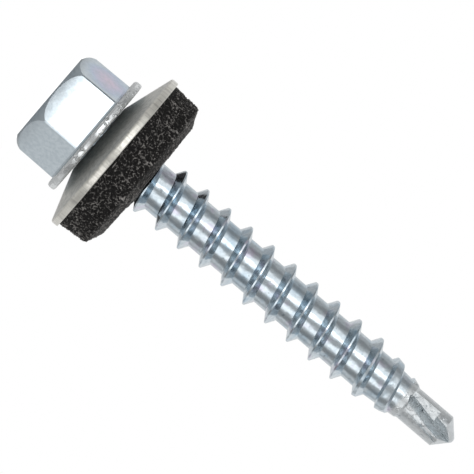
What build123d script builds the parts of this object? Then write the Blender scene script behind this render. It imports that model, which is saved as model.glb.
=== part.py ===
from build123d import *
import os
from math import cos, radians, sin, tan

# A 4.8 x 35 mm self-drilling roofing screw: hex head forged in one with a round flange, coarse
# right-hand thread, pinch-forged drill point, and a captive washer of steel plate bonded to EPDM.
# Millimetres. The axis is Z. The flat top of the head is z = 0 and the drill tip is the highest point.

# Head
across_flats = 7.92             # measured at the flange
hex_height = 4.12
hex_draft = 0.7                 # degrees on each flat, left by the forging die
hex_turn = -9.5                 # degrees between the corners and the start of the thread
hex_corner_flat = 0.09          # how much each sharp corner is blunted
crown_radius = 3.72             # flat disc on top of the head
crown_depth = 1.35              # how far down the corners are rounded off
crown_bulge = 0.16              # rise of the rounded crown above a straight chamfer
flange_diameter = 10.3
flange_thickness = 0.7
flange_top_ease = 0.25          # rounding of the rim, cut in two facets
flange_under_ease = 0.18

# Shank and thread
length_under_head = 35.1
shank_diameter = 4.2            # plain length inside the washer
core_diameter = 3.5
thread_diameter = 4.88
thread_pitch = 2.154
thread_phase = 10.41            # a height at which the crest crosses +X
thread_base = 0.96              # width of the ridge where it leaves the core
thread_crest = 0.12             # width of the crest
thread_sink = 0.4               # depth of the ridge's foot inside the core
thread_runin = 0.75             # length over which the ridge rises to its full height
thread_emerge = 0.2             # how far past the seal's face the ridge reaches its full height
thread_runout = 3.1             # length over which the ridge is worn down before the point
thread_runout_height = 0.3      # what is left of the ridge at the end of that length
thread_tail = 1.1               # from there to the shoulder
thread_end_height = 0.03        # trace of the ridge at the shoulder

# Drill point
point_diameter = 2.78
point_length = 4.65             # from the forged shoulder to the tip
point_taper_length = 3.1        # slender end of the core above the shoulder
shoulder_diameter = 3.0
shoulder_length = 0.2
point_angle = 94                # included angle of the drill tip
tip_width = 0.4                 # blunt end left by the web
tip_rise = 0.05                 # height of the blunt end
flute_slant = 10.2              # degrees from the axis
flute_root_across = 0.48        # sideways place of the flute's root where it starts
flute_web_start = 0.37          # half the web left between the flutes
flute_web_end = 0.2
flute_face_angle = 30           # degrees of the cutting wall from the outward direction
flute_back_angle = 28           # degrees of the clearing wall from the outward direction
flute_ramp = 0.16               # sloped start of the flute
relief_edge = 1.04              # sideways place of the long edge beside the cutting wall
relief_angle = 22               # slope of the shallow facet beside the cutting wall
relief_length = 2.5             # from the flute's start to the step in the facet
margin_width_start = 0.42       # narrow land along the clearing edge
margin_width_end = 0.2
margin_depth = 0.05

# Washer
plate_diameter = 14.05
plate_thickness = 0.6           # along the axis
plate_cone_angle = 17.9         # degrees from flat
plate_land = 0.35               # flat ring that seats under the flange
plate_edge_ease = 0.16          # upper corner of the rim
plate_burr = 0.06               # lower corner of the rim, left by the punch
plate_bore_clearance = 0.2      # plate hole over the thread
seal_setback = 0.255            # from the plate's rim to the ring's side
seal_waist = 0.17               # how much the side wall pulls in
seal_flare_height = 1.3         # part of the side wall that flares out to the plate
seal_thickness = 2.95           # at the rim
seal_face_diameter = 10.4       # flat part of the sealing face
seal_edge_drop = 0.62           # height of the rounded edge outside it
seal_edge_bulge = 0.18          # rise of that edge above a straight chamfer
seal_mouth_depth = 0.7          # depth of the flare at the bore's open end
seal_mouth_clearance = 0.3      # flare over the thread
running_clearance = 0.05        # seal on the shank, plate under the flange

# Derived places
head_height = hex_height + flange_thickness
tip_height = head_height + length_under_head
flute_start = tip_height - point_length
taper_start = flute_start - point_taper_length
plate_top = head_height + running_clearance
plate_bore_radius = thread_diameter / 2 + plate_bore_clearance
plate_cone_radius = plate_bore_radius + plate_land
plate_slope = tan(radians(plate_cone_angle))
rim_top = plate_top + (plate_diameter / 2 - plate_cone_radius) * plate_slope
rim_bottom = rim_top + plate_thickness
seal_face = rim_bottom + seal_thickness
seal_radius = plate_diameter / 2 - seal_setback
seal_bore_radius = shank_diameter / 2 + running_clearance
seal_mouth_radius = thread_diameter / 2 + seal_mouth_clearance
thread_start = seal_face - thread_runin + thread_emerge
thread_origin = thread_phase - thread_pitch

UP = (Align.CENTER, Align.CENTER, Align.MIN)


def lathe(outline):
    """Turn a closed outline drawn in the XZ plane about the axis."""
    return revolve(make_face(outline), Axis.Z)


def section(*points):
    """Closed outline through (radius, height) points in the XZ plane."""
    return Plane.XZ * Polyline(*points, close=True)


def hex_head():
    """Drafted hexagon whose top corners are rounded off by the forging die."""
    base = RegularPolygon(across_flats / 2, 6, major_radius=False)
    base = chamfer(base.vertices(), hex_corner_flat)
    prism = extrude(Pos(0, 0, hex_height) * Rot(0, 0, hex_turn) * base, -hex_height, taper=hex_draft)
    corner = across_flats / 2 / cos(radians(30))
    mid = ((crown_radius + corner) / 2 + crown_bulge, crown_depth / 2 - crown_bulge)
    crown = Curve() + [
        Line((0, 0), (crown_radius, 0)),
        ThreePointArc((crown_radius, 0), mid, (corner, crown_depth)),
        Polyline((corner, crown_depth), (corner, hex_height), (0, hex_height), (0, 0)),
    ]
    return prism & lathe(Plane.XZ * crown)


def eased_corner(radius, height, ease, inward):
    """Points from a flat face to a rim that ease their corner in two facets."""
    share = ease * (1 - cos(radians(45)))
    middle = (radius - share, height + inward * share)
    return [(radius - ease, height), middle, (radius, height + inward * ease)]


def flange():
    """Round flange with an eased rim."""
    rim = flange_diameter / 2
    top_corner = eased_corner(rim, hex_height, flange_top_ease, 1)
    under_corner = eased_corner(rim, head_height, flange_under_ease, -1)
    return lathe(section((0, hex_height), *top_corner, *reversed(under_corner), (0, head_height)))


def plain_shank():
    """Smooth shank inside the washer, stepping down to the threaded core."""
    core = core_diameter / 2
    shank = shank_diameter / 2
    step = shank - core
    return lathe(
        section((0, hex_height), (shank, hex_height), (shank, thread_start - step), (core, thread_start),
                (0, thread_start))
    )


def ridge(start, end):
    """Right-hand helical ridge with its foot sunk in the core."""
    root = core_diameter / 2
    height = thread_diameter / 2 - root
    flank = (thread_base - thread_crest) / 2 / height
    foot = thread_base / 2 + thread_sink * flank
    path = Helix(thread_pitch, end - start, root, center=(0, 0, start))
    outline = Polyline(
        (-thread_sink, foot),
        (height, thread_crest / 2),
        (height, -thread_crest / 2),
        (-thread_sink, -foot),
        close=True,
    )
    return sweep(Plane(path @ 0, x_dir=(1, 0, 0), z_dir=path % 0) * make_face(outline), path, is_frenet=True)


def slab(low, high):
    """Everything near the axis between two heights."""
    return Pos(0, 0, low) * Box(30, 30, high - low, align=UP)


def threaded_core():
    """Core with its ridge: a straight stretch, then a taper towards the point."""
    core = core_diameter / 2
    crest = thread_diameter / 2
    shoulder = shoulder_diameter / 2
    spare = 2 * thread_pitch
    narrowing = (core - shoulder) / point_taper_length
    helix = ridge(thread_origin, flute_start)
    straight = Pos(0, 0, thread_start - spare) * Cylinder(core, tip_height, align=UP) + helix
    taper = Pos(0, 0, taper_start - spare) * Cone(
        core + spare * narrowing, shoulder - spare * narrowing, point_taper_length + 2 * spare, align=UP
    )
    taper += helix & slab(taper_start - thread_pitch, flute_start)
    rod = (straight & slab(thread_start, taper_start)) + (taper & slab(taper_start, flute_start))
    worn_end = flute_start - thread_tail
    core_end = shoulder + narrowing * thread_tail
    wear = crest - core_end - thread_runout_height
    envelope = section(
        (0, thread_start),
        (core, thread_start),
        (crest + thread_sink, thread_start + thread_runin * (1 + thread_sink / (crest - core))),
        (crest + thread_sink, worn_end - thread_runout * (1 + thread_sink / wear)),
        (core_end + thread_runout_height, worn_end),
        (shoulder + thread_end_height, flute_start),
        (0, flute_start),
    )
    return rod & lathe(envelope)


def point_blank():
    """Drill point before its flutes are pinched: shoulder, barrel and cone."""
    barrel = point_diameter / 2
    shoulder = shoulder_diameter / 2
    cone_end = tip_height - tip_rise
    cone_start = cone_end - (barrel - tip_width / 2) / tan(radians(point_angle / 2))
    return lathe(
        section((0, flute_start), (shoulder, flute_start), (barrel, flute_start + shoulder_length),
                (barrel, cone_start), (tip_width / 2, cone_end), (0, tip_height))
    )


def flute_root(height):
    """Sideways place and half web of the flute's root at a height."""
    along = height - flute_start
    across = flute_root_across - along * tan(radians(flute_slant))
    web = flute_web_start + (flute_web_end - flute_web_start) * along / point_length
    return across, web


def flute_vee(height, lift=0.0):
    """Section of the flute: a vee between its cutting wall and its clearing wall."""
    across, web = flute_root(height)
    web += lift
    face, back = radians(flute_face_angle), radians(flute_back_angle)
    reach = point_diameter
    return Pos(0, 0, height) * make_face(
        Polyline(
            (across, web),
            (across + reach * sin(face), web + reach * cos(face)),
            (across - reach * sin(back), web + reach * cos(back)),
            close=True,
        )
    )


def flute():
    """One slanted flute with a sloped start."""
    beyond = tip_height + flute_ramp
    return loft([flute_vee(flute_start - flute_ramp, point_diameter / 2 - flute_web_start),
                 flute_vee(flute_start + flute_ramp), flute_vee(beyond)], ruled=True)


def relief_facet(height):
    """Section of the shallow facet beside the cutting wall, from its long edge to the flute's root."""
    out = (point_diameter**2 / 4 - relief_edge**2) ** 0.5
    inner = flute_root(height)[0]
    outline = Polyline(
        (relief_edge, out),
        (relief_edge, point_diameter),
        (inner, point_diameter),
        (inner, out - (relief_edge - inner) * tan(radians(relief_angle))),
        close=True,
    )
    return Pos(0, 0, height) * make_face(outline)


def relief():
    """Shallow facet that ends in a step before the tip."""
    return loft([relief_facet(flute_start), relief_facet(flute_start + relief_length)], ruled=True)


def margin_strip(height, width):
    """Section of the narrow land beside the clearing wall."""
    across, web = flute_root(height)
    back = radians(flute_back_angle)
    barrel = point_diameter / 2
    edge = across - (barrel - web) * tan(back)
    edge_out = (barrel**2 - edge**2) ** 0.5
    far = edge - width
    far_out = (barrel**2 - far**2) ** 0.5
    return Pos(0, 0, height) * make_face(
        Polyline(
            (edge + margin_depth, edge_out - margin_depth),
            (edge + margin_depth, point_diameter),
            (far, point_diameter),
            (far, far_out - margin_depth),
            close=True,
        )
    )


def margin():
    """Narrow land pressed flat along the clearing edge of the flute."""
    return loft([margin_strip(flute_start + shoulder_length, margin_width_start),
                 margin_strip(tip_height, margin_width_end)], ruled=True)


def screw():
    """The whole forged and rolled screw."""
    body = hex_head() + flange() + plain_shank()
    body += threaded_core()
    body += point_blank()
    for side in (0, 180):
        for cutter in (flute(), relief(), margin()):
            body -= Rot(0, 0, side) * cutter
    return body


def washer_plate():
    """Conical steel plate: flat seat under the flange, cone, and a punched rim with eased corners."""
    rim = plate_diameter / 2
    seat_bottom = plate_top + plate_thickness
    wall = make_face(
        Polyline(
            (plate_bore_radius, plate_top),
            (plate_cone_radius, plate_top),
            (rim, rim_top),
            (rim, rim_bottom),
            (plate_cone_radius, seat_bottom),
            (plate_bore_radius, seat_bottom),
            close=True,
        )
    )
    for height, ease in ((rim_top, plate_edge_ease), (rim_bottom, plate_burr)):
        wall = chamfer(wall.vertices().sort_by_distance((rim, height))[0], ease)
    return revolve(Plane.XZ * wall, Axis.Z)


def rubber_ring():
    """EPDM ring bonded under the plate: flared side, rounded lower edge, mouth opened round the thread."""
    waist = seal_radius - seal_waist
    face = seal_face_diameter / 2
    seat_bottom = plate_top + plate_thickness
    side_top = rim_bottom - (plate_diameter / 2 - seal_radius) * plate_slope
    edge_start = seal_face - seal_edge_drop
    return lathe(
        section(
            (seal_radius, side_top),
            (plate_cone_radius, seat_bottom),
            (seal_bore_radius, seat_bottom),
            (seal_bore_radius, seal_face - seal_mouth_depth),
            (seal_mouth_radius, seal_face),
            (face, seal_face),
            ((face + waist + seal_edge_bulge) / 2, seal_face - (seal_edge_drop - seal_edge_bulge) / 2),
            (waist, edge_start),
            (waist, side_top + seal_flare_height),
        )
    )


os.makedirs("parts", exist_ok=True)
export_step(screw(), "parts/screw.step")
export_step(washer_plate(), "parts/steel_washer.step")
export_step(rubber_ring(), "parts/rubber_seal.step")
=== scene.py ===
import logging
import math
from abc import ABC, abstractmethod
from dataclasses import dataclass
from typing import Any, Callable

import bpy
import numpy as np
from mathutils import Matrix, Vector, noise


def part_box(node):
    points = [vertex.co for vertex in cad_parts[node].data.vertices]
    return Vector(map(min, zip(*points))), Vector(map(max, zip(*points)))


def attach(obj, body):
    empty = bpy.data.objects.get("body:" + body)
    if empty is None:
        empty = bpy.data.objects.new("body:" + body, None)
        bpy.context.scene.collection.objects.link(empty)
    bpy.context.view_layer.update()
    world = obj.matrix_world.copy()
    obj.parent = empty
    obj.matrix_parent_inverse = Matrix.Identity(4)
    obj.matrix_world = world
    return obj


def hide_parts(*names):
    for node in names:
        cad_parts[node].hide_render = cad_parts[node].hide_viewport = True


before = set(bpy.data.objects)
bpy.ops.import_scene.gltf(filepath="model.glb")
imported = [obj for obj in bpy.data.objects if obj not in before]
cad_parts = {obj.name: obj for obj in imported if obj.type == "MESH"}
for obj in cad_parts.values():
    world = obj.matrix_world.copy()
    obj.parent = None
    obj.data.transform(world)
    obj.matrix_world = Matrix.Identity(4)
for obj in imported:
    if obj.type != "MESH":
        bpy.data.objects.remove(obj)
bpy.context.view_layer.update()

PLATE_LOW, PLATE_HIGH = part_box("steel_washer")
SEAL_LOW, SEAL_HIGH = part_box("rubber_seal")
LOG = logging.getLogger("sealing_screw")
MM = 0.001
# name of the mesh attribute that holds painted shade: dark in the rubber's grooves, and a painted highlight
# on its ridges and sealing face
PAINTED_SHADE_ATTRIBUTE = "relief"

# an arc of an outline is cut into at least so many steps, none longer than so many millimetres
FEWEST_ARC_STEPS = 3
ARC_STEP = 0.08

# a span runs from its first value to its second, and a ramp holds places from 0 to 1 with their
# sRGB hex colours
Triple = tuple[float, float, float]
Span = tuple[float, float]
Ramp = tuple[tuple[float, str], ...]
Inputs = dict[str, Any]
Array = np.ndarray
# a relief gives an outward shift in millimetres and a painted shade from 0 to 1
Relief = Callable[[Vector, float, float], tuple[float, float]]


def linear(code: str) -> tuple[float, float, float, float]:
    """Turn an sRGB hex colour into the linear RGBA that shaders take.

    Args:
        code: A colour such as "#8090a0".

    Returns:
        Linear red, green, blue and an alpha of 1.
    """
    channels = [int(code[i:i + 2], 16) / 255 for i in (1, 3, 5)]
    return (*(c / 12.92 if c <= 0.04045 else ((c + 0.055) / 1.055) ** 2.4 for c in channels), 1.0)


def add_node(
    tree: bpy.types.NodeTree, kind: str, inputs: Inputs | tuple[Any, ...] = (), stops: Ramp = (),
    **settings: Any,
) -> bpy.types.Node:
    """Add a shader node with its settings and its links.

    Args:
        tree: Node tree that takes the node.
        kind: Blender's type name of the node.
        inputs: Values by the names of the inputs, or in the order of the inputs that the settings
            leave in use. A value that is a node stands for the first of its outputs in use.
        stops: Two or more stops of its colour ramp, from low to high.
        settings: Properties of the node itself.

    Returns:
        The new node.
    """
    node = tree.nodes.new(kind)
    for name, value in settings.items():
        setattr(node, name, value)
    for number, (position, code) in enumerate(stops):
        elements = node.color_ramp.elements
        element = elements[number] if number < len(elements) else elements.new(position)
        element.position, element.color = position, linear(code)
    in_use = [socket for socket in node.inputs if socket.enabled]
    if isinstance(inputs, dict):
        by_name = {socket.name: socket for socket in in_use}
        pairs = [(by_name[name], value) for name, value in inputs.items()]
    else:
        pairs = list(zip(in_use, inputs))
    for socket, value in pairs:
        if isinstance(value, bpy.types.Node):
            value = next(output for output in value.outputs if output.enabled)
        if isinstance(value, bpy.types.NodeSocket):
            tree.links.new(value, socket)
        else:
            socket.default_value = value
    return node


def axis_distance(tree: bpy.types.NodeTree, place: bpy.types.NodeSocket) -> bpy.types.Node:
    """Work out how far a point is from the screw's axis.

    Args:
        tree: Node tree that takes the nodes.
        place: The point, in metres.

    Returns:
        Node that gives the distance in metres.
    """
    flat = add_node(tree, "ShaderNodeVectorMath", (place, (1.0, 1.0, 0.0)), operation="MULTIPLY")
    return add_node(tree, "ShaderNodeVectorMath", (flat,), operation="LENGTH")


@dataclass(frozen=True)
class Noise:
    """Cloudy noise that a pattern is cut from.

    Attributes:
        cell: Size of one cloud in millimetres.
        detail: How many finer layers lie on it.
    """

    cell: float
    detail: float

    @property
    def scale(self) -> float:
        """Cells in a metre, which is what Blender's noise takes."""
        return 1 / (self.cell * MM)


class Finish(ABC):
    """Surface of one real material. Its sizes are in millimetres."""

    name: str

    @abstractmethod
    def shading(self, tree: bpy.types.NodeTree) -> Inputs:
        """Build the patterns and say what goes into the shader."""

    def material(self) -> bpy.types.Material:
        """Build the material.

        Returns:
            The finished material.
        """
        material = bpy.data.materials.new(self.name)
        material.use_nodes = True
        tree = material.node_tree
        tree.nodes.clear()
        shader = add_node(tree, "ShaderNodeBsdfPrincipled", self.shading(tree))
        add_node(tree, "ShaderNodeOutputMaterial", {"Surface": shader})
        return material


@dataclass(frozen=True)
class Zones:
    """Masks, from 0 to 1, of the parts of the screw that different tools made.

    Attributes:
        rolled: Shank, thread and flange, and only a trace of the die-smooth hexagon.
        rim: Edge of the flange.
        point: Forged drill point.
        calm: The rolled mask, weakened on the point.
    """

    rolled: bpy.types.Node
    rim: bpy.types.Node
    point: bpy.types.Node
    calm: bpy.types.Node


@dataclass(frozen=True)
class BrightZinc(Finish):
    """Bright zinc plating with clear blue passivation, on cold-forged and thread-rolled steel."""

    # It gives the eye a cool mirror with faint steel-blue and lavender patches. The die leaves the
    # hexagon's faces smooth. The rolled shank has soft ripples, a fine mottle and dark pits, the
    # flange's edge is dented from tumbling, and the forged point is duller and paler.
    name: str = "bright_zinc_plated_steel"

    # millimetres: heights over which the hexagon gives way to the flange and the thread to the
    # point, and radii over which the flange's edge begins
    hexagon_end: Span = (4.0, 4.2)
    point_start: Span = (34.6, 34.9)
    rim_start: Span = (4.75, 4.95)

    # shares of the rolled look that the hexagon has, and of the mottle's relief that the point has
    hexagon_share: float = 0.05
    point_share: float = 0.3

    # The patches, ripples and dents have their true sizes. Real pits and mottle are about a tenth
    # of a millimetre across, too fine to show, and are drawn about three times as coarse.
    patches: Noise = Noise(cell=1.5, detail=2.0)
    ripples: Noise = Noise(cell=0.85, detail=1.0)
    dents: Noise = Noise(cell=0.4, detail=2.0)
    pits: Noise = Noise(cell=0.32, detail=2.0)
    mottle: Noise = Noise(cell=0.3, detail=3.0)
    seed: float = 3.0

    # the tint follows the thickness of the passivation, and at the even level it has none
    tints: Ramp = ((0.34, "#b8cad7"), (0.5, "#ccd6dc"), (0.58, "#ccd6dc"), (0.72, "#cec9da"))
    even_level: float = 0.54

    # Rainbow stain on the hexagon where a drop of the rinse dried, from its middle outwards. Its
    # sizes are in millimetres, and it fades from the hold, a share of its width, to its edge.
    stain: Ramp = ((0.0, "#dac6d6"), (0.3, "#d2c6da"), (0.55, "#c4c4da"), (0.8, "#b8c8de"))
    stain_place: Triple = (-3.8, -1.3, 2.7)
    stain_core: float = 0.5
    stain_radius: float = 2.5
    stain_waver: float = 1.6
    stain_hold: float = 0.7
    stain_strength: float = 0.9

    # Each mark's colour, the noise levels between which it sets in, and its greatest share. Wear
    # and dents cover the whole edge of the flange, and only their share of the point.
    cloud: str = "#a9b5be"
    cloud_levels: Span = (0.4, 0.62)
    cloud_share: float = 0.35
    pit: str = "#7f8b93"
    pit_levels: Span = (0.63, 0.74)
    pit_share: float = 0.6
    worn: str = "#dde0e1"
    point_wear: float = 0.8
    dent_levels: Span = (0.54, 0.72)
    point_dents: float = 0.3

    # the mottle takes the roughness from low to high, and the edge and the point add their own
    roughness_low: float = 0.11
    roughness_high: float = 0.25
    roughness_levels: Span = (0.35, 0.65)
    rim_roughness: float = 0.04
    point_roughness: float = 0.2

    # depths in millimetres
    ripple_depth: float = 0.06
    dent_depth: float = 0.12
    mottle_depth: float = 0.008

    def zones(self, tree: bpy.types.NodeTree, place: bpy.types.NodeSocket) -> Zones:
        """Tell the parts of the screw from each other by height and radius.

        Args:
            tree: Node tree that takes the nodes.
            place: Point on the surface.

        Returns:
            The masks.
        """
        height = add_node(tree, "ShaderNodeSeparateXYZ", (place,)).outputs["Z"]
        rolled, rim, point = (
            add_node(tree, "ShaderNodeMapRange", {
                "Value": measure, "From Min": start * MM, "From Max": end * MM, "To Min": least})
            for measure, (start, end), least in (
                (height, self.hexagon_end, self.hexagon_share),
                (axis_distance(tree, place), self.rim_start, 0.0),
                (height, self.point_start, 0.0),
            )
        )
        spared = add_node(tree, "ShaderNodeMapRange", {
            "Value": point, "To Min": 1.0, "To Max": self.point_share})
        calm = add_node(tree, "ShaderNodeMath", (rolled, spared), operation="MULTIPLY")
        return Zones(rolled, rim, point, calm)

    def dried_drop(
        self, tree: bpy.types.NodeTree, place: bpy.types.NodeSocket, patches: bpy.types.Node
    ) -> tuple[bpy.types.Node, bpy.types.Node]:
        """Colour the stain: its film thins out from the middle, so its colours follow as rings.

        Args:
            tree: Node tree that takes the nodes.
            place: Point on the surface.
            patches: Noise that makes the rings waver.

        Returns:
            How strong the stain is, and its colours.
        """
        middle = tuple(coordinate * MM for coordinate in self.stain_place)
        away = add_node(tree, "ShaderNodeVectorMath", (place, middle), operation="DISTANCE")
        film = add_node(tree, "ShaderNodeMath", (patches, self.stain_waver * MM, away),
                        operation="MULTIPLY_ADD")
        ring = add_node(tree, "ShaderNodeMapRange", {
            "Value": film, "From Min": self.stain_core * MM,
            "From Max": (self.stain_waver / 2 + self.stain_radius) * MM})
        rainbow = add_node(tree, "ShaderNodeValToRGB", {"Fac": ring}, self.stain)
        strength = add_node(tree, "ShaderNodeMapRange", {
            "Value": ring, "From Min": self.stain_hold, "To Min": self.stain_strength, "To Max": 0.0})
        return strength, rainbow

    def colour(
        self, tree: bpy.types.NodeTree, place: bpy.types.NodeSocket, zones: Zones,
        patches: bpy.types.Node, pits: bpy.types.Node, mottle: bpy.types.Node,
    ) -> bpy.types.Node:
        """Lay the colours of the plating over each other.

        Args:
            tree: Node tree that takes the nodes.
            place: Point on the surface.
            zones: Masks of the screw's parts.
            patches: Noise of the passivation's thickness.
            pits: Noise of the pits.
            mottle: Noise of the fine mottle.

        Returns:
            Node that gives the colour.
        """
        drift = add_node(tree, "ShaderNodeMath", (patches, self.even_level), operation="SUBTRACT")
        level = add_node(tree, "ShaderNodeMath", (drift, zones.rolled, self.even_level),
                         operation="MULTIPLY_ADD")
        paint = add_node(tree, "ShaderNodeValToRGB", {"Fac": level}, self.tints)
        clouded, pitted = (
            add_node(tree, "ShaderNodeMapRange", {
                "Value": pattern, "From Min": low, "From Max": high, "To Max": most})
            for pattern, (low, high), most in (
                (mottle, self.cloud_levels, self.cloud_share), (pits, self.pit_levels, self.pit_share))
        )
        rubbed = add_node(tree, "ShaderNodeMath", (zones.point, self.point_wear, zones.rim),
                          operation="MULTIPLY_ADD")
        open_pits = add_node(tree, "ShaderNodeMath", (pitted, zones.rolled), operation="MULTIPLY")
        for share, over in (
            self.dried_drop(tree, place, patches), (clouded, linear(self.cloud)),
            (rubbed, linear(self.worn)), (open_pits, linear(self.pit)),
        ):
            paint = add_node(tree, "ShaderNodeMix", {"Factor": share, "A": paint, "B": over},
                             data_type="RGBA")
        return paint

    def dullness(self, tree: bpy.types.NodeTree, zones: Zones, mottle: bpy.types.Node) -> bpy.types.Node:
        """Add up the roughness of the parts of the screw.

        Args:
            tree: Node tree that takes the nodes.
            zones: Masks of the screw's parts.
            mottle: Noise of the fine mottle.

        Returns:
            Node that gives the roughness.
        """
        low, high = self.roughness_levels
        uneven = add_node(tree, "ShaderNodeMapRange", {"Value": mottle, "From Min": low, "From Max": high})
        hazed = add_node(tree, "ShaderNodeMath", (uneven, zones.rolled), operation="MULTIPLY")
        roughness: bpy.types.Node | float = self.roughness_low
        for share, more in (
            (hazed, self.roughness_high - self.roughness_low),
            (zones.rim, self.rim_roughness), (zones.point, self.point_roughness),
        ):
            roughness = add_node(tree, "ShaderNodeMath", (share, more, roughness), operation="MULTIPLY_ADD")
        return roughness

    def unevenness(
        self, tree: bpy.types.NodeTree, zones: Zones,
        ripples: bpy.types.Node, dents: bpy.types.Node, mottle: bpy.types.Node,
    ) -> bpy.types.Node:
        """Stack the ripples, the dents and the mottle.

        Args:
            tree: Node tree that takes the nodes.
            zones: Masks of the screw's parts.
            ripples: Noise of the rolled ripples.
            dents: Noise of the dents.
            mottle: Noise of the fine mottle.

        Returns:
            Node that gives the bent normal.
        """
        low, high = self.dent_levels
        dented = add_node(tree, "ShaderNodeMapRange", {"Value": dents, "From Min": low, "From Max": high})
        knocked = add_node(tree, "ShaderNodeMath", (zones.point, self.point_dents, zones.rim),
                           operation="MULTIPLY_ADD")
        under: Inputs = {}
        for pattern, share, depth in (
            (ripples, zones.rolled, self.ripple_depth), (dented, knocked, self.dent_depth),
            (mottle, zones.calm, self.mottle_depth),
        ):
            level = add_node(tree, "ShaderNodeMath", (pattern, share), operation="MULTIPLY")
            under["Normal"] = add_node(tree, "ShaderNodeBump", {
                "Height": level, "Strength": 1.0, "Distance": depth * MM, **under})
        return under["Normal"]

    def shading(self, tree: bpy.types.NodeTree) -> Inputs:
        """Build the patterns of the plating and say what goes into the shader.

        Args:
            tree: Node tree that takes the nodes.

        Returns:
            The shader's inputs.
        """
        place = add_node(tree, "ShaderNodeTexCoord").outputs["Object"]
        zones = self.zones(tree, place)
        patches, pits, mottle, ripples, dents = (
            add_node(tree, "ShaderNodeTexNoise", {
                "Vector": place, "W": self.seed, "Scale": pattern.scale, "Detail": pattern.detail,
            }, noise_dimensions="4D")
            for pattern in (self.patches, self.pits, self.mottle, self.ripples, self.dents)
        )
        return {
            "Base Color": self.colour(tree, place, zones, patches, pits, mottle),
            "Metallic": 1.0,
            "Roughness": self.dullness(tree, zones, mottle),
            "Normal": self.unevenness(tree, zones, ripples, dents, mottle),
        }


@dataclass(frozen=True)
class SatinZinc(Finish):
    """Zinc-coated sheet steel, pressed into a cone and punched out."""

    # It gives the eye a warmer, duller metal than the screw, under a grey bloom of oxide. The
    # punch has burnished the cut edge and drawn fine lines across it.
    name: str = "zinc_coated_sheet_steel"

    # The sheet's grain and the punch's lines are under a tenth of a millimetre wide, too fine to
    # show, and are drawn several times as coarse. The squeeze stretches the lines along the axis.
    mottle: Noise = Noise(cell=0.35, detail=4.0)
    mottle_roughness: float = 0.65
    mottle_depth: float = 0.03
    streaks: Noise = Noise(cell=0.2, detail=2.0)
    streak_squeeze: Triple = (1.0, 1.0, 0.12)
    streak_depth: float = 0.012

    # the sheet from its bloom to bare metal, the edge from its lines to the burnish, and the radii
    # in millimetres over which the edge begins
    bloom: Ramp = ((0.36, "#c3c3be"), (0.6, "#e2e1dc"))
    scoring: Ramp = ((0.36, "#cdcbc4"), (0.52, "#e4e2da"))
    edge_start: Span = (6.86, 6.93)
    metallic: float = 0.86
    roughness: float = 0.4
    edge_roughness: float = 0.28

    def shading(self, tree: bpy.types.NodeTree) -> Inputs:
        """Build the patterns of the sheet and say what goes into the shader.

        Args:
            tree: Node tree that takes the nodes.

        Returns:
            The shader's inputs.
        """
        place = add_node(tree, "ShaderNodeTexCoord").outputs["Object"]
        start, end = self.edge_start
        edge = add_node(tree, "ShaderNodeMapRange", {
            "Value": axis_distance(tree, place), "From Min": start * MM, "From Max": end * MM})
        mottle = add_node(tree, "ShaderNodeTexNoise", {
            "Vector": place, "Scale": self.mottle.scale, "Detail": self.mottle.detail,
            "Roughness": self.mottle_roughness})
        squeezed = add_node(tree, "ShaderNodeMapping", {"Vector": place, "Scale": self.streak_squeeze})
        streaks = add_node(tree, "ShaderNodeTexNoise", {
            "Vector": squeezed, "Scale": self.streaks.scale, "Detail": self.streaks.detail})
        tone, lines = (
            add_node(tree, "ShaderNodeValToRGB", {"Fac": pattern}, stops)
            for pattern, stops in ((mottle, self.bloom), (streaks, self.scoring))
        )
        pressed = add_node(tree, "ShaderNodeBump", {
            "Height": mottle, "Strength": 1.0, "Distance": self.mottle_depth * MM})
        drawn = add_node(tree, "ShaderNodeMath", (streaks, edge), operation="MULTIPLY")
        return {
            "Base Color": add_node(tree, "ShaderNodeMix", {"Factor": edge, "A": tone, "B": lines},
                                   data_type="RGBA"),
            "Metallic": self.metallic,
            "Roughness": add_node(tree, "ShaderNodeMapRange", {
                "Value": edge, "To Min": self.roughness, "To Max": self.edge_roughness}),
            "Normal": add_node(tree, "ShaderNodeBump", {
                "Height": drawn, "Strength": 1.0, "Distance": self.streak_depth * MM,
                "Normal": pressed}),
        }


@dataclass(frozen=True)
class Epdm(Finish):
    """Black EPDM rubber, moulded, with a wrinkled skin that the mesh's relief describes and painted shade
    that follows it.
    """

    # It gives the eye a dull charcoal. The grooves are painted near black as painted shade and stay matt,
    # and the ridges are painted light grey as a painted highlight and glint a little.
    name: str = "black_epdm_rubber"

    # painted shade of a groove, the body's own charcoal, painted highlight of a ridge, and the relief
    # between which the ridges get their glint
    skin: Ramp = ((0.2, "#070706"), (0.45, "#1d1c1b"), (0.95, "#b5b1ad"))
    specular: float = 0.26
    rubbed_levels: Span = (0.3, 0.8)
    roughness_groove: float = 0.85
    roughness_ridge: float = 0.4

    # real rubber has a grain of a few hundredths, too fine to show, and it is drawn coarser
    grain: Noise = Noise(cell=0.13, detail=2.0)
    grain_depth: float = 0.05

    def shading(self, tree: bpy.types.NodeTree) -> Inputs:
        """Paint shade and highlight after the relief of the skin and say what goes into the shader.

        Args:
            tree: Node tree that takes the nodes.

        Returns:
            The shader's inputs.
        """
        place = add_node(tree, "ShaderNodeTexCoord").outputs["Object"]
        relief = add_node(tree, "ShaderNodeAttribute", attribute_name=PAINTED_SHADE_ATTRIBUTE).outputs["Fac"]
        low, high = self.rubbed_levels
        grain = add_node(tree, "ShaderNodeTexNoise", {
            "Vector": place, "Scale": self.grain.scale, "Detail": self.grain.detail})
        return {
            # colour from the painted shade: painted shade in the grooves and a painted highlight on the
            # ridges, over the body's own charcoal
            "Base Color": add_node(tree, "ShaderNodeValToRGB", {"Fac": relief}, self.skin),
            "Roughness": add_node(tree, "ShaderNodeMapRange", {
                "Value": relief, "From Min": low, "From Max": high,
                "To Min": self.roughness_groove, "To Max": self.roughness_ridge}),
            "Specular IOR Level": self.specular,
            "Normal": add_node(tree, "ShaderNodeBump", {
                "Height": grain, "Strength": 1.0, "Distance": self.grain_depth * MM}),
        }


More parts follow.
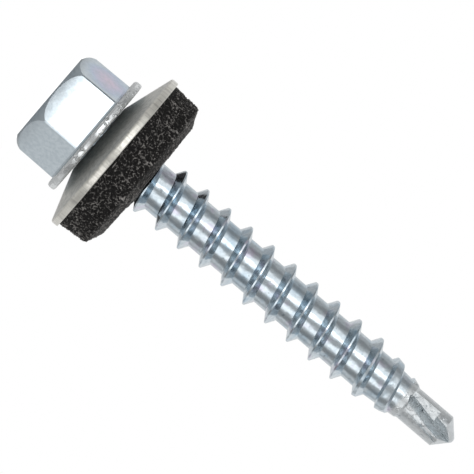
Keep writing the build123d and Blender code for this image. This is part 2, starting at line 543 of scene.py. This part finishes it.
@dataclass(frozen=True)
class OpalAcrylic(Finish):
    """Opal acrylic sheet of a light table, cast and lit from below."""

    # It gives the eye plain white, and on the part above it only a faint glow.
    name: str = "opal_acrylic"

    base: str = "#c4c4c4"
    lamp: str = "#ffffff"
    roughness: float = 0.8
    glow: float = 0.16
    glow_seen: float = 0.69

    def shading(self, tree: bpy.types.NodeTree) -> Inputs:
        """Build the glow and say what goes into the shader.

        Args:
            tree: Node tree that takes the nodes.

        Returns:
            The shader's inputs.
        """
        seen = add_node(tree, "ShaderNodeLightPath").outputs["Is Camera Ray"]
        return {
            "Base Color": linear(self.base),
            "Roughness": self.roughness,
            "Emission Color": linear(self.lamp),
            "Emission Strength": add_node(
                tree, "ShaderNodeMath", (seen, self.glow_seen, self.glow), operation="MULTIPLY_ADD"),
        }


@dataclass(frozen=True)
class Corner:
    """Corner of a turned outline, in millimetres.

    Attributes:
        radius: Distance from the axis.
        height: Place along the axis.
        rounding: Radius of the arc that replaces the corner.
        step: Spacing of the rows on the run that follows.
    """

    radius: float
    height: float
    rounding: float = 0.0
    step: float = 1.0


def unit(way: Array) -> Array:
    """Bring a vector to a length of 1."""
    return way / np.linalg.norm(way)


def round_off(corner: Corner, here: Array, back: Array, ahead: Array, half: float) -> list[Array]:
    """Replace a corner by an arc.

    Args:
        corner: The corner.
        here: Its place.
        back: Unit vector towards the corner before.
        ahead: Unit vector towards the corner after.
        half: Half the angle between the two.

    Returns:
        Points of the arc, or the corner itself where it is sharp.
    """
    if corner.rounding == 0:
        return [here]
    centre = here + unit(back + ahead) * corner.rounding / math.sin(half)
    reach = corner.rounding / math.tan(half)
    first, last = here + back * reach - centre, here + ahead * reach - centre
    turn = math.pi - 2 * half
    pieces = max(FEWEST_ARC_STEPS, math.ceil(turn * corner.rounding / min(corner.step, ARC_STEP)))
    shares = [k / pieces for k in range(pieces + 1)]
    return [
        centre + (math.sin((1 - t) * turn) * first + math.sin(t * turn) * last) / math.sin(turn)
        for t in shares
    ]


def trace(corners: list[Corner]) -> Array:
    """Walk round a closed outline, with its corners rounded and its runs divided.

    Args:
        corners: Corners in order.

    Returns:
        Array of radius and height, in millimetres.
    """
    places = [np.array((corner.radius, corner.height)) for corner in corners]
    afters = places[1:] + places[:1]
    runs = [after - here for here, after in zip(places, afters)]
    ways = [unit(run) for run in runs]
    halves = [
        math.acos(float(np.clip(-before @ way, -1, 1))) / 2
        for before, way in zip(ways[-1:] + ways[:-1], ways)
    ]
    reaches = [corner.rounding / math.tan(half) for corner, half in zip(corners, halves)]
    rows: list[Array] = []
    for i, corner in enumerate(corners):
        rows += round_off(corner, places[i], -ways[i - 1], ways[i], halves[i])
        length = float(np.linalg.norm(runs[i])) - reaches[i] - reaches[(i + 1) % len(corners)]
        pieces = max(1, math.ceil(length / corner.step))
        rows += [places[i] + ways[i] * (reaches[i] + length * k / pieces) for k in range(1, pieces)]
    return np.array(rows)


def plain_relief(place: Vector, radius: float, height: float) -> tuple[float, float]:
    """Relief of a smooth surface: no shift, and a middling painted shade."""
    return 0.0, 0.5


def turned_mesh(name: str, rows: Array, columns: int, relief: Relief = plain_relief) -> bpy.types.Object:
    """Turn a closed outline about the axis into a smooth closed mesh.

    Args:
        name: Name of the piece.
        rows: Closed outline as radius and height, in millimetres.
        columns: Number of divisions round the axis.
        relief: Outward shift in millimetres and painted shade from 0 to 1, from a point, its radius and its
        height.

    Returns:
        The new object.
    """
    ahead, behind = np.roll(rows, -1, axis=0), np.roll(rows, 1, axis=0)
    along = (ahead - behind) / np.linalg.norm(ahead - behind, axis=1, keepdims=True)
    area = 0.5 * np.sum(rows[:, 0] * ahead[:, 1] - ahead[:, 0] * rows[:, 1])
    outward = np.sign(area) * np.stack([along[:, 1], -along[:, 0]], axis=1)
    verts: list[Triple] = []
    painted_shades: list[float] = []
    for (radius, height), (out_r, out_z) in zip(rows.tolist(), outward.tolist()):
        for k in range(columns):
            angle = 2 * math.pi * k / columns
            c, s = math.cos(angle), math.sin(angle)
            lift, shade = relief(Vector((radius * c, radius * s, height)), radius, height)
            r, z = radius + lift * out_r, height + lift * out_z
            verts.append((r * c * MM, r * s * MM, z * MM))
            painted_shades.append(shade)
    faces: list[tuple[int, ...]] = []
    for i in range(len(rows)):
        this_row, next_row = i * columns, (i + 1) % len(rows) * columns
        for k in range(columns):
            m = (k + 1) % columns
            quad = (this_row + k, this_row + m, next_row + m, next_row + k)
            faces.append(quad if area > 0 else quad[::-1])
    mesh = bpy.data.meshes.new(name)
    mesh.from_pydata(verts, [], faces)
    mesh.polygons.foreach_set("use_smooth", [True] * len(mesh.polygons))
    # the painted shade goes into the mesh, and the rubber's colour reads it as painted shade in the grooves
    # and a painted highlight on the ridges
    mesh.attributes.new(PAINTED_SHADE_ATTRIBUTE, "FLOAT", "POINT").data.foreach_set("value", painted_shades)
    mesh.update()
    piece = bpy.data.objects.new(name, mesh)
    bpy.context.scene.collection.objects.link(piece)
    return piece


def smooth_step(low: float, high: float, value: float) -> float:
    """Ease from 0 at low to 1 at high."""
    t = min(1.0, max(0.0, (value - low) / (high - low)))
    return t * t * (3 - 2 * t)


@dataclass(frozen=True)
class WrinkledSkin:
    """Skin of the rubber, with worm-like wrinkles where a noise crosses zero, and the painted shade that
    follows them. In millimetres.

    Attributes:
        coarse: Cell of the noise of the main wrinkles. The fine ones have half of it.
        sharpness: How narrow a wrinkle is.
        coarse_share: Height of the main wrinkles, as a share of the depth.
        fine_share: Height of the fine wrinkles, as a share of the depth.
        depth: Depth of the wrinkles.
        mean: Share of the depth that lies under the plain wall.
        patch: Cell of the noise that makes some places rougher than others.
        patch_even: Share of the wrinkles that every place has.
        patch_more: Share that the patches add.
        face_calm: Share of the wrinkles that is missing on the sealing face.
        swell: Cell of the noise that makes the wall uneven.
        swell_depth: Depth of that unevenness.
        swell_face_calm: Share of the unevenness that is missing on the sealing face.
        shade_groove: Painted shade of a groove.
        shade_ridge: How much lighter a ridge is painted, as a painted highlight.
        shade_face: How much lighter the sealing face is painted, as painted light.
        near_plate: Height by the plate over which the skin sets in.
        near_mouth: Width by the mouth over which it sets in.
        near_face: Depths under the sealing face between which the face begins.
        fine_shift: Shift that keeps the fine noise apart from the coarse one.
        patch_shift: Shift of the patches' noise.
        swell_shift: Shift of the wall's noise.
    """

    coarse: float = 0.29
    sharpness: float = 4.5
    coarse_share: float = 0.6
    fine_share: float = 0.45
    depth: float = 0.17
    mean: float = 0.35
    patch: float = 0.9
    patch_even: float = 0.7
    patch_more: float = 0.5
    face_calm: float = 0.45
    swell: float = 2.1
    swell_depth: float = 0.07
    swell_face_calm: float = 0.4
    # painted shade in the grooves, and painted light on the ridges and the sealing face
    shade_groove: float = 0.3
    shade_ridge: float = 0.62
    shade_face: float = 0.14
    near_plate: float = 0.35
    near_mouth: float = 0.6
    near_face: Span = (0.75, 0.3)
    fine_shift: Triple = (7, 3, 1)
    patch_shift: Triple = (4, 1, 8)
    swell_shift: Triple = (2, 9, 4)

    def wrinkles(self, place: Vector, face: float) -> float:
        """Height of the wrinkles at a point, as a share of their depth.

        Args:
            place: Point in millimetres.
            face: From 0 on the wall to 1 on the sealing face.

        Returns:
            The share.
        """
        coarse, fine = (
            max(0.0, 1 - abs(noise.noise(place / cell + Vector(shift))) * self.sharpness) ** 2
            for cell, shift in ((self.coarse, (0, 0, 0)), (self.coarse / 2, self.fine_shift))
        )
        # the noise seldom leaves -0.5 to 0.5, so this brings it to about 0 to 1
        patch = 0.5 + noise.noise(place / self.patch + Vector(self.patch_shift))
        height = coarse * self.coarse_share + fine * self.fine_share
        return height * (self.patch_even + self.patch_more * patch) * (1 - self.face_calm * face)

    def swelling(self, place: Vector, face: float) -> float:
        """How far the uneven wall stands out at a point, in millimetres."""
        level = noise.noise(place / self.swell + Vector(self.swell_shift))
        return level * self.swell_depth * (1 - self.swell_face_calm * face)


@dataclass(frozen=True)
class SealingWasher:
    """Conical steel plate with its bonded rubber ring. Sizes are in millimetres.

    The plate's radius, thickness and flat land and the ring's radius and sealing face come from
    the frame. The columns and the step say how finely each piece is divided.
    """

    rim_radius: float = PLATE_HIGH[0] / MM
    top: float = PLATE_LOW[2] / MM
    thickness: float = (SEAL_LOW[2] - PLATE_LOW[2]) / MM
    bore_radius: float = 2.64
    land_radius: float = 2.99
    cone_deg: float = 17.9
    bore_round: float = 0.04
    land_round: float = 0.25
    land_round_under: float = 0.1
    rim_round: float = 0.17
    burr_round: float = 0.06
    plate_columns: int = 360

    ring_radius: float = SEAL_HIGH[0] / MM
    ring_face: float = SEAL_HIGH[2] / MM
    ring_waist: float = 6.6
    ring_waist_drop: float = 1.3
    ring_waist_round: float = 1.2
    ring_edge_drop: float = 0.62
    ring_edge_round: float = 0.35
    ring_face_radius: float = 5.2
    ring_face_round: float = 0.5
    ring_mouth: float = 2.74
    ring_mouth_round: float = 0.15
    ring_mouth_depth: float = 0.7
    ring_bore: float = 2.15
    ring_bore_round: float = 0.2
    ring_columns: int = 640
    wall_step: float = 0.07
    skin: WrinkledSkin = WrinkledSkin()
    lip_place: Triple = (1.6, -2.5, 9.72)
    lip_rise: float = 0.2
    lip_spread: float = 0.9

    def cone(self, radius: float) -> float:
        """Height of the plate's upper face at a radius."""
        return self.top + (radius - self.land_radius) * math.tan(math.radians(self.cone_deg))

    def plate(self) -> bpy.types.Object:
        """Press the steel plate.

        Returns:
            The plate.
        """
        rim_top = self.cone(self.rim_radius)
        rows = trace([
            Corner(self.bore_radius, self.top, self.bore_round, step=0.12),
            Corner(self.land_radius, self.top, self.land_round, step=0.12),
            Corner(self.rim_radius, rim_top, self.rim_round, step=0.1),
            Corner(self.rim_radius, rim_top + self.thickness, self.burr_round, step=0.5),
            Corner(self.land_radius, self.top + self.thickness, self.land_round_under, step=0.4),
            Corner(self.bore_radius, self.top + self.thickness, self.bore_round, step=0.2),
        ])
        plate = turned_mesh("pressed_steel_plate", rows, self.plate_columns)
        plate.data.materials.append(SatinZinc().material())
        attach(plate, "washer")
        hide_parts("steel_washer")
        return plate

    def ring_relief_and_painted_shade(self, place: Vector, radius: float, height: float) -> tuple[float, float]:
        """Relief and painted shade of the rubber ring: its wrinkled skin, and a lip that the mould left by
        the mouth.

        Args:
            place: Point in millimetres.
            radius: Its distance from the axis.
            height: Its place along the axis.

        Returns:
            Outward shift in millimetres, and painted shade from 0 in a groove, where it is painted shade, to
            1 on a ridge, where it is a painted highlight.
        """
        skin = self.skin
        side_top = self.cone(self.ring_radius) + self.thickness
        wall_start, face_full = (self.ring_face - drop for drop in skin.near_face)
        clear_of_plate = smooth_step(side_top, side_top + skin.near_plate, height)
        clear_of_mouth = smooth_step(self.ring_mouth, self.ring_mouth + skin.near_mouth, radius)
        face = smooth_step(wall_start, face_full, height)
        wrinkles = skin.wrinkles(place, face)
        lip = self.lip_rise * math.exp(-((place - Vector(self.lip_place)).length / self.lip_spread) ** 2)
        rise = (wrinkles - skin.mean) * skin.depth + skin.swelling(place, face)
        # painted shade: darker in the grooves, lighter on the ridges as a painted highlight, and lighter on
        # the sealing face as painted light
        shade = skin.shade_groove + skin.shade_ridge * wrinkles + skin.shade_face * face
        return clear_of_plate * clear_of_mouth * rise + lip, shade

    def ring(self) -> bpy.types.Object:
        """Mould the rubber ring.

        Returns:
            The ring.
        """
        seat = self.top + self.thickness
        side_top = self.cone(self.ring_radius) + self.thickness
        wall_end = self.ring_face - self.ring_edge_drop
        mouth_end = self.ring_face - self.ring_mouth_depth
        rows = trace([
            Corner(self.ring_radius, side_top, step=self.wall_step),
            Corner(self.ring_waist, side_top + self.ring_waist_drop, self.ring_waist_round, self.wall_step),
            Corner(self.ring_waist, wall_end, self.ring_edge_round, self.wall_step),
            Corner(self.ring_face_radius, self.ring_face, self.ring_face_round, step=0.12),
            Corner(self.ring_mouth, self.ring_face, self.ring_mouth_round, step=0.15),
            Corner(self.ring_bore, mouth_end, self.ring_bore_round, step=1.2),
            Corner(self.ring_bore, seat, step=0.5),
            Corner(self.land_radius, seat),
        ])
        ring = turned_mesh("moulded_rubber_ring", rows, self.ring_columns, self.ring_relief_and_painted_shade)
        ring.data.materials.append(Epdm().material())
        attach(ring, "washer")
        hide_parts("rubber_seal")
        return ring

    def build(self) -> list[bpy.types.Object]:
        """Make both pieces."""
        return [self.plate(), self.ring()]


@dataclass(frozen=True)
class HexScrew:
    """Forged and rolled screw, carried over from the frame as it is."""

    node: str = "screw"

    def build(self) -> list[bpy.types.Object]:
        """Dress the screw.

        Returns:
            The screw.
        """
        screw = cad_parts[self.node]
        screw.data.materials.clear()
        screw.data.materials.append(BrightZinc().material())
        return [screw]


@dataclass(frozen=True)
class Panel:
    """Bright or dark patch of the light tent.

    Attributes:
        name: What a studio would call it.
        bearing: Compass angle of its middle, 0 towards -Y and 90 towards -X.
        half_width: Half its width in degrees.
        rise: Elevation of its middle.
        half_height: Half its height in degrees.
        strength: Radiance that it adds.
        soft: Width of its soft edge in degrees.
    """

    name: str
    bearing: float
    half_width: float
    rise: float
    half_height: float
    strength: float
    soft: float

    def shine(
        self, tree: bpy.types.NodeTree, bearing: bpy.types.Node, rise: bpy.types.Node,
        light: bpy.types.Node | float,
    ) -> bpy.types.Node:
        """Add the panel's light to the tent.

        Args:
            tree: Node tree of the world.
            bearing: Compass angle of the direction, in degrees.
            rise: Elevation of the direction, in degrees.
            light: Light of the tent so far.

        Returns:
            Node that gives the light with the panel.
        """
        inside: list[bpy.types.Node] = []
        for angle, middle, half in (
            (bearing, self.bearing, self.half_width), (rise, self.rise, self.half_height),
        ):
            off = add_node(tree, "ShaderNodeMath", (angle, middle), operation="SUBTRACT")
            turned = add_node(tree, "ShaderNodeMath", (off, 180.0, -180.0), operation="WRAP")
            away = add_node(tree, "ShaderNodeMath", (turned,), operation="ABSOLUTE")
            inside.append(add_node(tree, "ShaderNodeMapRange", {
                "Value": away, "From Min": half - self.soft / 2, "From Max": half + self.soft / 2,
                "To Min": 1.0, "To Max": 0.0,
            }, interpolation_type="SMOOTHSTEP"))
        patch = add_node(tree, "ShaderNodeMath", tuple(inside), operation="MULTIPLY")
        return add_node(tree, "ShaderNodeMath", (patch, self.strength, light), operation="MULTIPLY_ADD")


@dataclass(frozen=True)
class Studio:
    """White light tent: light table, soft dome and the camera.

    Attributes:
        target_mm: Point that the camera looks at.
        distance_mm: How far the camera is from it.
        below_level_deg: How far the camera stands below the level of the target.
        roll_deg: How far the camera is rolled.
        scale_px_mm: Pixels of the picture in a millimetre of the object.
        frame_px: Width of the picture.
        clip_m: Nearest and farthest distance that the camera sees.
        table_radius_mm: Radius of the light table.
        table_drop_mm: Gap between it and the head's flat top.
        table_sides: Sides of its round edge.
        white: Colour of all the light.
        backdrop: Radiance that the camera sees behind the object.
        tent: Radiance of the tent where no panel hangs.
        panels: The panels.
    """

    target_mm: Triple = (-1.134, 0.0, 17.56)
    distance_mm: float = 480.0
    below_level_deg: float = 1.9
    roll_deg: float = 40.45
    scale_px_mm: float = 13.3
    frame_px: int = 474
    clip_m: Span = (0.01, 5.0)
    table_radius_mm: float = 42.0
    table_drop_mm: float = 0.02
    table_sides: int = 96
    white: str = "#ffffff"
    backdrop: float = 1.0
    tent: float = 0.5
    panels: tuple[Panel, ...] = (
        Panel("key", bearing=30, half_width=23, rise=0, half_height=22, strength=0.75, soft=16),
        Panel("key_centre", bearing=19, half_width=8, rise=0, half_height=20, strength=1.3, soft=8),
        Panel("fill", bearing=-36, half_width=15, rise=0, half_height=22, strength=1.0, soft=15),
        Panel("dark_edge_left", bearing=-78, half_width=14, rise=0, half_height=26, strength=-0.2, soft=14),
        Panel("dark_edge_right", bearing=84, half_width=12, rise=0, half_height=26, strength=-0.18, soft=14),
        Panel("side_left", bearing=-102, half_width=11, rise=0, half_height=30, strength=0.24, soft=12),
        Panel("rear", bearing=180, half_width=52, rise=0, half_height=90, strength=0.3, soft=30),
        Panel("roof", bearing=180, half_width=100, rise=62, half_height=40, strength=0.1, soft=30),
    )

    def place_camera(self) -> None:
        """Aim a long lens at the shank from just below level, rolled to point the tip down right."""
        lens = bpy.data.cameras.new("long_lens")
        half_width = self.frame_px / self.scale_px_mm / 2
        lens.angle = 2 * math.atan(half_width / self.distance_mm)
        lens.clip_start, lens.clip_end = self.clip_m
        tilt, roll = math.radians(self.below_level_deg), math.radians(self.roll_deg)
        back = Vector((0, -math.cos(tilt), -math.sin(tilt)))
        along = Vector((0, -math.sin(tilt), math.cos(tilt)))
        across = Vector((-1, 0, 0))
        right = math.cos(roll) * along + math.sin(roll) * across
        up = -math.sin(roll) * along + math.cos(roll) * across
        camera = bpy.data.objects.new("camera", lens)
        bpy.context.scene.collection.objects.link(camera)
        turn = Matrix((right, up, back)).transposed().to_4x4()
        place = (Vector(self.target_mm) + self.distance_mm * back) * MM
        camera.matrix_world = Matrix.Translation(place) @ turn
        bpy.context.scene.camera = camera

    def lay_table(self) -> None:
        """Lay the round light table just under the head's flat top, so that the two don't coincide."""
        mesh = bpy.data.meshes.new("light_table")
        reach, level = self.table_radius_mm * MM, -self.table_drop_mm * MM
        angles = [2 * math.pi * k / self.table_sides for k in range(self.table_sides)]
        rim = [(reach * math.cos(angle), reach * math.sin(angle), level) for angle in angles]
        mesh.from_pydata(rim, [], [range(self.table_sides)])
        table = bpy.data.objects.new("light_table", mesh)
        bpy.context.scene.collection.objects.link(table)
        mesh.materials.append(OpalAcrylic().material())

    def hang_tent(self) -> None:
        """Surround the part with the light tent, which the camera sees as pure white."""
        world = bpy.data.worlds.new("light_tent")
        bpy.context.scene.world = world
        world.use_nodes = True
        tree = world.node_tree
        tree.nodes.clear()
        direction = add_node(tree, "ShaderNodeTexCoord").outputs["Generated"]
        # with x and y turned round, the bearing counts from -Y towards -X
        turned = add_node(tree, "ShaderNodeVectorMath", (direction, (-1.0, -1.0, 1.0)),
                          operation="MULTIPLY")
        x, y, z = add_node(tree, "ShaderNodeSeparateXYZ", (turned,)).outputs
        bearing, rise = (
            add_node(tree, "ShaderNodeMath", (angle,), operation="DEGREES")
            for angle in (
                add_node(tree, "ShaderNodeMath", (x, y), operation="ARCTAN2"),
                add_node(tree, "ShaderNodeMath", (z,), operation="ARCSINE"),
            )
        )
        light: bpy.types.Node | float = self.tent
        for panel in self.panels:
            light = panel.shine(tree, bearing, rise, light)
        tent, backdrop = (
            add_node(tree, "ShaderNodeBackground", {"Color": linear(self.white), "Strength": strength})
            for strength in (light, self.backdrop)
        )
        seen = add_node(tree, "ShaderNodeLightPath").outputs["Is Camera Ray"]
        mix = add_node(tree, "ShaderNodeMixShader", (seen, tent, backdrop))
        add_node(tree, "ShaderNodeOutputWorld", {"Surface": mix})

    def build(self) -> None:
        """Build the whole studio, with colours shown as they are."""
        self.place_camera()
        self.lay_table()
        self.hang_tent()
        bpy.context.scene.view_settings.view_transform = "Standard"


def main() -> None:
    """Build the studio, the screw and its washer, and report each piece's faces."""
    logging.basicConfig(level=logging.INFO)
    Studio().build()
    for assembly in (HexScrew(), SealingWasher()):
        for piece in assembly.build():
            LOG.info("%s: %d faces", piece.name, len(piece.data.polygons))


if __name__ == "__main__":
    main()
